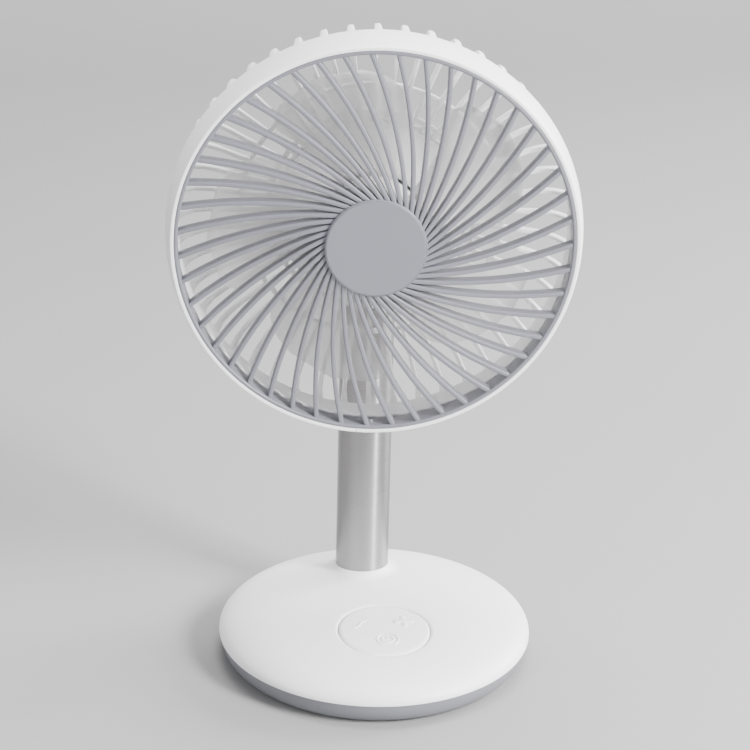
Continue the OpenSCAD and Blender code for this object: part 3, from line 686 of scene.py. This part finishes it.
class FAN_OT_base(bpy.types.Operator):
    """Make the domed top shell, its collar and the grey bottom shell"""

    bl_idname = "fan.base"
    bl_label = "Base shells"

    def execute(self, context):
        base, key = context.scene.fan_base, context.scene.fan_key
        hidden = 0.03 * MM
        slip = 0.1 * MM
        hole_r = KEY_R + key.gap
        lead_in = key.groove + 0.6 * MM
        above = 2 * BASE_HIGH.z
        inner = dome_outline(BASE_R - base.wall, base.dome_height - base.wall, base)
        outer = dome_outline(BASE_R, base.dome_height, base)
        dome = mesh_of("base_shell", lathe(outer[::-1] + inner, 256, closed=False))
        mouth_low, mouth_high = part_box("usb_socket")
        gap = Vector((0.3, 0, 0.3)) * MM
        dome = cut(
            dome,
            drum(hole_r + lead_in, BASE_LOW.z + base.wall, above, y=KEY_Y, steps=128),
            drum(POLE_R + lead_in, BASE_LOW.z, above, y=POLE_Y, steps=128),
            slab(mouth_low - gap, (mouth_high.x + gap.x, 2 * BASE_R, mouth_high.z + gap.z)),
        )
        finished("base_shell", dome, "stand", "white_shell", ["base_top"], angle=40)

        def key_drop(reach):
            """Soft side of the groove round the key."""
            return -groove_drop(key, reach) - hidden * min(1, reach / lead_in)

        lip = rim_patch(base, KEY_Y, hole_r, hole_r + 2 * lead_in, key_drop, base.wall)
        finished("key_rim", mesh_of("key_rim", lip), "stand", "white_shell", angle=50)

        def collar_drop(reach):
            """Flared collar with a soft top edge that runs out into the dome."""
            flare = (1 - min(1, reach / base.collar_width)) ** 2.4
            edge = max(0.0, 1 - reach / (0.9 * MM)) ** 2
            return base.collar_rise * (flare - 0.12 * edge) - hidden * min(1, reach / lead_in)

        collar_r = POLE_R + base.collar_width
        collar = rim_patch(base, POLE_Y, POLE_R + slip, collar_r, collar_drop, base.wall)
        finished("pole_collar", mesh_of("pole_collar", collar), "stand", "white_shell", angle=50)

        floor_z, side = BOWL_LOW.z, 7.1 * MM
        bowl = []
        for i in range(17):
            a = math.pi / 2 * i / 16
            z = base.seam_height - (base.seam_height - floor_z) * math.sin(a)
            bowl.append((BOWL_HIGH.y - side * (1 - math.cos(a)), z))
        inside = [(r - base.wall, min(z + base.wall, base.seam_height)) for r, z in bowl]
        outline = [(0, floor_z), *bowl[::-1], *inside, (0, floor_z + base.wall)]
        pad = [math.hypot(v.co.x, v.co.y) for v in NODES["rubber_ring"].data.vertices]
        pad_in, pad_out, pad_top = min(pad) - slip, max(pad) + slip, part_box("rubber_ring")[1].z
        groove = lathe([(pad_in, 0), (pad_out, 0), (pad_out, pad_top), (pad_in, pad_top)], 192)
        holes = [
            drum(r + slip, 0, low, x=x, y=y, steps=48)
            for node in ("base_screws", "foot_screws") for x, y, r, low in islands(node)
        ]
        bowl_mesh = cut(mesh_of("base_bowl", lathe(outline, 256, closed=False)), groove, *holes)
        finished("base_bowl", bowl_mesh, "stand", "grey_base", ["base_bottom"], angle=40)
        return {"FINISHED"}


# ---------- key plate ----------


def bead(base, path, width, rise):
    """A raised line with a rounded section that lies on the dome along a path of (x, y)."""
    sections = []
    points = [Vector(p) for p in path]
    for i, here in enumerate(points):
        ahead = points[min(i + 1, len(points) - 1)] - points[max(i - 1, 0)]
        across = Vector((-ahead.y, ahead.x)).normalized()
        end = i in (0, len(points) - 1)
        half = width / 2 * (0.45 if end else 1)
        lift = rise * (0.3 if end else 1)
        section = []
        for k in range(10):
            a = math.tau * k / 10
            p = here + across * half * math.cos(a)
            section.append((p.x, p.y, dome_height(base, p.length) + lift * math.sin(a)))
        sections.append(section)
    return loft(sections)


def bar(x0, y0, x1, y1, steps=8):
    """Path of a straight line with closely set ends."""
    shares = [0, 0.03] + [i / steps for i in range(1, steps)] + [0.97, 1]
    return [(x0 + (x1 - x0) * s, y0 + (y1 - y0) * s) for s in shares]


def arc(centre_y, radius, first, last, steps):
    """Path of an arc about a point on the middle line, between angles in degrees from the back."""
    turns = [math.radians(first + (last - first) * i / steps) for i in range(steps + 1)]
    return [(radius * math.sin(a), centre_y + radius * math.cos(a)) for a in turns]


class FAN_OT_key(bpy.types.Operator):
    """Make the key plate with its raised signs"""

    bl_idname = "fan.key"
    bl_label = "Key plate"

    def execute(self, context):
        base, key = context.scene.fan_base, context.scene.fan_key
        rows, steps, spacing = 26, 128, 1.7
        sections = []
        for k in range(steps):
            a = math.tau * k / steps
            section = []
            for i in range(rows + 1):
                rho = KEY_R * (1 - (1 - i / rows) ** spacing)
                drop = groove_drop(key, KEY_R - rho)
                x, y = rho * math.cos(a), KEY_Y + rho * math.sin(a)
                section.append((x, y, dome_height(base, math.hypot(x, y)) - drop))
            section.append((KEY_R * math.cos(a), KEY_Y + KEY_R * math.sin(a), KEY_LOW.z))
            section.append((0, KEY_Y, KEY_LOW.z))
            sections.append(section)
        plate = skin(sections, closed_sections=False)

        half = key.sign_size / 2
        plus_x, back_y = key.sign_side - 0.5 * MM, KEY_Y + key.sign_back
        front_y = KEY_Y - key.sign_front
        lean, swing = math.radians(37), 0.7 * MM
        slant = Vector((math.cos(lean), math.sin(lean)))
        wave = []
        for i in range(25):
            t = -1 + i / 12
            sway = Vector((-slant.y, slant.x)) * swing * math.sin(t * math.pi)
            wave.append(Vector((-key.sign_side, back_y)) + slant * half * t + sway)
        power_r, halo_r = 2.6 * MM, 4.9 * MM
        thin, thick = key.line_width, key.bar_width
        lines = [
            (bar(plus_x - half, back_y, plus_x + half, back_y), thick),
            (bar(plus_x, back_y - half, plus_x, back_y + half), thick),
            (wave, 1.3 * thin),
            (arc(front_y, power_r, 35, 325, 28), thin),
            (arc(front_y, halo_r, -25, -155, 24), thin),
            (arc(front_y, halo_r, 25, 155, 24), thin),
            (bar(0, front_y + 0.3 * MM, 0, front_y + power_r), thin),
        ]
        signs = [bead(base, line, width, key.sign_rise) for line, width in lines]
        mesh = mesh_of("key_plate_top", joined(plate, *signs))
        finished("key_plate_top", mesh, "keys", "key_white", ["key_plate"], angle=50)
        return {"FINISHED"}


# ---------- pole and neck ----------


class FAN_OT_pole(bpy.types.Operator):
    """Make the brushed pole"""

    bl_idname = "fan.pole"
    bl_label = "Pole"

    def execute(self, context):
        inner_r = POLE_R - 1.0 * MM
        edge = 0.3 * MM
        outline = rounded([
            (inner_r, POLE_LOW.z, 0), (POLE_R, POLE_LOW.z, edge), (POLE_R, POLE_HIGH.z, edge),
            (inner_r, POLE_HIGH.z, edge),
        ])
        shape = moved(lathe(outline, 192), Matrix.Translation((0, POLE_Y, 0)))
        mesh = mesh_of("pole_brushed", shape)
        finished("pole_brushed", mesh, "stand", "pole_aluminium", ["pole_tube"])
        return {"FINISHED"}


def softened(node, name, body, finish, edge):
    """A copy of a CAD node with merged points and rounded edges, which stands for the node."""
    mesh = NODES[node].data.copy()
    work = bmesh.new()
    work.from_mesh(mesh)
    bmesh.ops.remove_doubles(work, verts=work.verts, dist=1e-6)
    bmesh.ops.dissolve_limit(
        work, angle_limit=math.radians(1.0), verts=work.verts, edges=work.edges, delimit=set()
    )
    work.to_mesh(mesh)
    work.free()

    def modify(holder):
        bevel = holder.modifiers.new("edge", "BEVEL")
        bevel.width, bevel.segments, bevel.limit_method = edge, 3, "ANGLE"
        bevel.angle_limit = math.radians(40)

    return finished(name, evaluated(mesh, modify), body, finish, [node], angle=30)


class FAN_OT_neck(bpy.types.Operator):
    """Round the edges of the neck and of the cover behind the head"""

    bl_idname = "fan.neck"
    bl_label = "Neck and rear cover"

    def execute(self, context):
        softened("neck_fork", "neck_fork_soft", "neck", "white_shell", 0.5 * MM)
        softened("rear_cover", "rear_cover_soft", "head", "white_shell", 0.5 * MM)
        return {"FINISHED"}


# ---------- head ----------


def head_piece(name, mesh, finish, nodes=(), body="head", angle=35):
    """Moves a mesh made in the head's frame into place and finishes it."""
    mesh.transform(HEAD)
    return finished(name, mesh, body, finish, nodes, angle)


def seam_slab(outer):
    """The hairline seam through the rim at the bottom, as a solid to cut with."""
    half = 0.15 * MM
    line = slab((0.94 * outer, -half, -1.6 * MM), (1.1 * outer, half, 1 * MM))
    return moved(line, Matrix.Rotation(math.radians(-94.4), 4, "Z"))


class FAN_OT_shroud(bpy.types.Operator):
    """Make the white shroud round the grille"""

    bl_idname = "fan.shroud"
    bl_label = "Shroud"

    def execute(self, context):
        guard = context.scene.fan_guard
        inner, outer, back, front = head_span("shroud_ring")
        rim = inner + guard.lip
        corners = [(inner, 0.0, 0.4 * MM), (rim - 0.1 * MM, 0.0, 0.7 * MM)]
        steps = 12
        for i in range(1, steps + 1):
            t = i / steps
            r = rim + guard.flare * (1 - (1 - t) ** 2)
            corners.append((r, back * t, 0.5 * MM if i == steps else 0))
        corners.append((inner, back, 0))
        shell = cut(mesh_of("shroud_shell", lathe(rounded(corners), 256)), seam_slab(outer))
        head_piece("shroud_shell", shell, "white_shell", ["shroud_ring"])
        return {"FINISHED"}


class FAN_OT_grille(bpy.types.Operator):
    """Make the grey ring, the swirl ribs and the hub"""

    bl_idname = "fan.grille"
    bl_label = "Front grille"

    def execute(self, context):
        grille = context.scene.fan_grille
        _, ring_r, _, hub_front = head_span("front_grille")
        ring_back = -9.5 * MM
        _, cap_r, cap_back, cap_front = head_span("hub_cap")
        hub_r, hub_back, edge = cap_r + 0.55 * MM, -2.6 * MM, 0.5 * MM
        wall = grille.ring_wall
        ring = lathe(rounded([
            (ring_r, 0, 0.5 * MM), (ring_r, ring_back, 0.2 * MM), (ring_r - wall, ring_back, 0.3 * MM),
            (ring_r - wall, 0, 0.7 * MM),
        ]), 256)
        hub = lathe(rounded([
            (hub_r - edge, cap_back, 0), (hub_r - edge, hub_front, 0.1 * MM),
            (hub_r, hub_front - edge, 0.3 * MM), (hub_r, hub_back, 0.4 * MM),
            (hub_r - 2 * MM, hub_back, 0), (hub_r - 2 * MM, cap_back, 0),
        ]), 160)
        ring_mesh = mesh_of("grille_ring", joined(ring, hub))
        head_piece("grille_ring", ring_mesh, "grey_grille", ["front_grille"])

        start_r, end_r = hub_r - 0.9 * MM, ring_r - wall / 2
        start = Vector((start_r, 0, 0))
        end = Vector((end_r * math.cos(grille.sweep), end_r * math.sin(grille.sweep), 0))
        chord = end - start
        bend = chord.length / (2 * math.sin(grille.turn / 2))
        across = Vector((-chord.y, chord.x, 0)).normalized()
        middle = (start + end) / 2 - across * bend * (1 - math.cos(grille.turn / 2))
        front_in, front_out = hub_front - 1.4 * MM, -0.5 * MM
        start.z, end.z = front_in - grille.depth / 2, front_out - grille.depth / 2
        middle.z = (start.z + end.z) / 2
        ribs = through_tree(bpy.data.meshes.new("rib"), swirl_tree(), {
            "From": start, "Through": middle, "To": end, "Width": grille.width,
            "Depth": grille.depth, "Corner": grille.corner, "Count": grille.count,
            "Start angle": 0.0, "Finish": material("grey_grille"),
        })
        head_piece("grille_ribs", ribs, "grey_grille", angle=50)

        soft = 0.35 * MM
        cap = lathe([
            (0, cap_back), (cap_r, cap_back), (cap_r, cap_front - soft),
            (cap_r - soft * 0.3, cap_front - soft * 0.3), (cap_r - soft, cap_front), (0, cap_front),
        ], 160, closed=False)
        head_piece("hub_badge", mesh_of("hub_badge", cap), "grey_grille", ["hub_cap"], angle=20)
        return {"FINISHED"}


def guard_rib(guard, out_r, in_r, front, back):
    """One rear rib: down the side, round the corner and across the back."""
    depth = guard.rib_depth
    mid = depth / 2
    out_r -= 0.15 * MM
    turn_r = guard.corner - mid
    centre = Vector((out_r - guard.corner, back + guard.corner))
    path = []
    for i in range(8):
        z = front + (centre.y - front) * i / 8
        path.append((Vector((out_r - mid, z)), Vector((1, 0))))
    for i in range(13):
        a = math.pi / 2 * i / 12
        outward = Vector((math.cos(a), -math.sin(a)))
        path.append((centre + outward * turn_r, outward))
    for i in range(1, 7):
        r = centre.x + (in_r - centre.x) * i / 6
        path.append((Vector((r, back + mid)), Vector((0, -1))))
    sections = []
    for point, outward in path:
        share = min(1.0, max(0.0, (point.y - front) / (back + guard.corner / 2 - front)))
        root = math.exp(-abs(point.y - front) / (2.2 * MM))
        half = (guard.rib_root + (guard.rib_tip - guard.rib_root) * share + 1.2 * MM * root) / 2
        soft = 0.5 * MM
        corners = [(mid, half), (mid, -half), (-mid, -half), (-mid, half)]
        section = []
        for d, w in rounded([(d, w, soft) for d, w in corners], 2):
            flat = point + outward * d
            section.append((flat.x, w, flat.y))
        sections.append(section)
    return loft(sections)


class FAN_OT_guard(bpy.types.Operator):
    """Make the rear guard: band, ribs, thin rings and the closed middle"""

    bl_idname = "fan.guard"
    bl_label = "Rear guard"

    def execute(self, context):
        guard = context.scene.fan_guard
        _, _, shroud_back, _ = head_span("shroud_ring")
        _, out_r, back, band_front = head_span("guard_band", "guard_cage")
        _, housing_r, disc_front, _ = head_span("motor_housing")
        disc_r = housing_r + 1.5 * MM
        band_r = head_span("front_grille")[1] - 0.1 * MM
        band_in = band_r - guard.band_wall
        band_back = shroud_back - 6 * MM
        flange_r = out_r - 0.3 * MM
        flange_front, flange_back = shroud_back - 0.02 * MM, shroud_back - 2.4 * MM
        soft = 0.5 * MM
        band = lathe(rounded([
            (band_in, band_front, 0.3 * MM), (band_r, band_front, 0.3 * MM), (band_r, flange_front, 0),
            (flange_r, flange_front, 0), (flange_r, flange_back, soft), (band_r, flange_back, 0),
            (band_r, band_back, soft), (band_in, band_back, soft),
        ]), 256)
        rings = []
        for middle_r in (guard.ring_a, guard.ring_b):
            half = guard.ring_width / 2
            low, high = back + 0.6 * MM, back + 2.6 * MM
            rings.append(lathe(rounded([
                (middle_r - half, low, soft), (middle_r + half, low, soft),
                (middle_r + half, high, soft), (middle_r - half, high, soft),
            ], 3), 192))
        disc_back = back + 0.3 * MM
        disc = lathe([
            (0, disc_back), (disc_r - soft, disc_back), (disc_r, disc_back + soft),
            (disc_r, disc_front - soft), (disc_r - soft, disc_front), (0, disc_front),
        ], 192, closed=False)
        mesh = mesh_of("guard_frame", joined(band, *rings, disc))
        head_piece("guard_frame", mesh, "white_shell", ["guard_band", "guard_cage"])
        rib = guard_rib(guard, out_r, disc_r - 1 * MM, shroud_back - 0.05 * MM, back)
        ribs = repeated(rib, guard.count, 0.0, "white_shell")
        head_piece("guard_ribs", ribs, "white_shell", angle=50)
        return {"FINISHED"}


class FAN_OT_housing(bpy.types.Operator):
    """Make the motor housing in the middle of the guard"""

    bl_idname = "fan.housing"
    bl_label = "Motor housing"

    def execute(self, context):
        mouth, outer, back, front = head_span("motor_housing")
        outline = rounded([
            (outer, back, 0), (outer, back + 1.6 * MM, 0.6 * MM),
            (outer - 2.5 * MM, back + 2.4 * MM, 1 * MM), (mouth + 2 * MM, front, 1.2 * MM),
            (mouth, front, 0.5 * MM), (mouth, back, 0),
        ])
        shape = lathe(outline, 192)
        head_piece("housing_cone", mesh_of("housing_cone", shape), "white_shell", ["motor_housing"])
        return {"FINISHED"}


# ---------- impeller ----------


def blade(sizes, root_r, tip_r, low, high):
    """One twisted blade with a rounded tip: thin at its edges and thicker at its root."""
    rows, columns = 22, 16
    middle, rise = (low + high) / 2, (high - low) / 2
    half_width, tip_start, tip_lean = math.radians(29), 0.72, math.radians(16)
    sections = []
    for i in range(rows + 1):
        t = i / rows
        r = root_r + (tip_r - root_r) * t
        tip = max(0.0, (t - tip_start) / 0.28)
        spread = half_width * (1 - 0.1 * t) * math.sqrt(max(0.0, 1 - tip**2.4))
        lean = tip_lean * t * t
        climb = rise * (1 - 0.35 * t)
        over, below = [], []
        for j in range(columns + 1):
            s = -1 + 2 * j / columns
            a = lean + spread * s
            z = middle + climb * (s + 0.18 * (1 - s * s)) * min(1.0, spread / math.radians(18))
            thick = sizes.wall / 2 * (1 - 0.5 * t) * (1 - 0.75 * s**4)
            over.append((r * math.cos(a), r * math.sin(a), z + thick))
            below.append((r * math.cos(a), r * math.sin(a), z - thick))
        sections.append(over + below[::-1])
    return loft(sections)


class FAN_OT_impeller(bpy.types.Operator):
    """Make the impeller with its milky blades"""

    bl_idname = "fan.impeller"
    bl_label = "Impeller"

    def execute(self, context):
        sizes = context.scene.fan_impeller
        _, tip_r, back, _ = head_span("impeller")
        hub_r, bore_r = 21 * MM, 4.6 * MM
        _, _, nut_back, _ = head_span("spinner_nut")
        hub = lathe(rounded([
            (bore_r, back, 0), (hub_r - 1.6 * MM, back, 0), (hub_r, back, 0.4 * MM),
            (hub_r, nut_back, 3 * MM), (bore_r, nut_back, 0.3 * MM),
        ]), 160)
        hub_mesh = mesh_of("impeller_hub", hub)
        head_piece("impeller_hub", hub_mesh, "milky_blade", ["impeller"], body="rotor")
        hub_mesh.materials[0] = material("milky_hub")
        one = blade(sizes, hub_r - 0.5 * MM, tip_r, back + 0.6 * MM, nut_back - 1.2 * MM)
        blades = repeated(one, sizes.count, sizes.start, "milky_blade")
        head_piece("impeller_blades", blades, "milky_blade", body="rotor", angle=60)
        return {"FINISHED"}


# ---------- parts that keep their shape ----------


class FAN_OT_inside(bpy.types.Operator):
    """Give every carried-over part its finish"""

    bl_idname = "fan.inside"
    bl_label = "Inner parts"

    def execute(self, context):
        slots = {part["node"]: part["material_slot"] for part in frame["record"]["subparts"]}
        for name, node in NODES.items():
            node.data.materials.clear()
            node.data.materials.append(material(slots[name]))
        return {"FINISHED"}


# ---------- stage ----------


def softbox(name, place, aim, wide, high, power):
    """An area light that points at a place."""
    light = bpy.data.lights.new(name, "AREA")
    light.shape, light.size, light.size_y, light.energy = "RECTANGLE", wide, high, power
    lamp = bpy.data.objects.new(name, light)
    lamp.location = place
    lamp.rotation_mode = "QUATERNION"
    lamp.rotation_quaternion = (Vector(aim) - Vector(place)).to_track_quat("-Z", "Y")
    bpy.context.scene.collection.objects.link(lamp)


class FAN_OT_stage(bpy.types.Operator):
    """Make the camera, the lights and the pale floor"""

    bl_idname = "fan.stage"
    bl_label = "Stage"

    def execute(self, context):
        stage = context.scene.fan_stage
        a, e, roll = stage.azimuth, stage.elevation, stage.roll
        back = Vector((math.sin(a) * math.cos(e), -math.cos(a) * math.cos(e), math.sin(e)))
        right = Vector((math.cos(a), math.sin(a), 0))
        above = back.cross(right)
        leaning_right = right * math.cos(roll) + above * math.sin(roll)
        leaning_up = above * math.cos(roll) - right * math.sin(roll)
        camera = bpy.data.objects.new("camera", bpy.data.cameras.new("camera"))
        camera.data.sensor_width = 36
        camera.data.lens = stage.lens
        camera.data.clip_start = 0.05
        camera.matrix_world = turned_frame(leaning_right, leaning_up, back, Vector(stage.camera_place))
        context.scene.collection.objects.link(camera)
        context.scene.camera = camera

        depth, wide, bend = 0.9, 6.0, 0.5
        path = [(-wide, 0.0), (depth, 0.0)]
        for i in range(1, 13):
            t = math.pi / 2 * i / 12
            path.append((depth + bend * math.sin(t), bend - bend * math.cos(t)))
        path.append((depth + bend, wide))
        verts = [(x, y, z) for x in (-wide, wide) for y, z in path]
        count = len(path)
        faces = [[i, i + 1, count + i + 1, count + i] for i in range(count - 1)]
        floor_mesh = bpy.data.meshes.new("floor")
        floor_mesh.from_pydata(verts, [], faces)
        smooth(floor_mesh, 60)
        floor = bpy.data.objects.new("floor", floor_mesh)
        context.scene.collection.objects.link(floor)
        paint, shader = shader_material("floor_paint")
        shader.inputs["Roughness"].default_value = 0.7
        vary_colour(paint, shader, object_noise(paint, 6, 3), stage.floor_tone, 0.01)
        floor_mesh.materials.append(paint)

        aim = (0, 0, 0.15)
        for name, place, wide, high, power in (
            ("key_light", (0.95, -0.9, 0.95), 0.45, 0.45, 34),
            ("right_light", (1.2, 0.35, 0.6), 0.5, 0.5, 20),
            ("strip_light", (0.75, -0.85, 0.25), 0.1, 1.2, 16),
            ("fill_light", (-1.3, -0.9, 0.8), 1.2, 1.2, 6),
            ("top_light", (0.1, 0.2, 1.6), 0.8, 0.8, 26),
        ):
            softbox(name, place, aim, wide, high, power * stage.gain)
        world = bpy.data.worlds.new("studio")
        world.use_nodes = True
        sky = world.node_tree.nodes["Background"]
        sky.inputs["Color"].default_value = (0.93, 0.95, 1.0, 1)
        sky.inputs["Strength"].default_value = 0.5 * stage.gain
        context.scene.world = world
        return {"FINISHED"}


# ---------- panel and registration ----------

MAKERS = (
    FAN_OT_base, FAN_OT_key, FAN_OT_pole, FAN_OT_neck, FAN_OT_shroud, FAN_OT_grille, FAN_OT_guard,
    FAN_OT_housing, FAN_OT_impeller, FAN_OT_inside, FAN_OT_stage,
)
GROUPS = {
    "fan_base": BaseSizes, "fan_key": KeySizes, "fan_grille": GrilleSizes, "fan_guard": GuardSizes,
    "fan_impeller": ImpellerSizes, "fan_finishes": Finishes, "fan_stage": StageSizes,
}


class FAN_PT_sidebar(bpy.types.Panel):
    """Sizes, colours and makers of the desk fan"""

    bl_idname = "FAN_PT_sidebar"
    bl_label = "Desk Fan"
    bl_space_type = "VIEW_3D"
    bl_region_type = "UI"
    bl_category = "Desk Fan"

    def draw(self, context):
        for attribute, group in GROUPS.items():
            box = self.layout.box()
            box.label(text=group.__doc__)
            for name in group.__annotations__:
                box.prop(getattr(context.scene, attribute), name)
        for maker in MAKERS:
            self.layout.operator(maker.bl_idname)


def register():
    """Registers the classes and hangs the sizes on the scene."""
    for group in (*GROUPS.values(), *MAKERS, FAN_PT_sidebar):
        bpy.utils.register_class(group)
    for attribute, group in GROUPS.items():
        setattr(bpy.types.Scene, attribute, PointerProperty(type=group))


def unregister():
    """Takes the sizes and the classes away again."""
    for attribute in GROUPS:
        delattr(bpy.types.Scene, attribute)
    for group in (FAN_PT_sidebar, *reversed(MAKERS), *reversed(GROUPS.values())):
        bpy.utils.unregister_class(group)


def main():
    """Makes every piece in order."""
    register()
    for maker in MAKERS:
        getattr(bpy.ops.fan, maker.bl_idname.split(".")[1])()


if __name__ == "__main__":
    main()
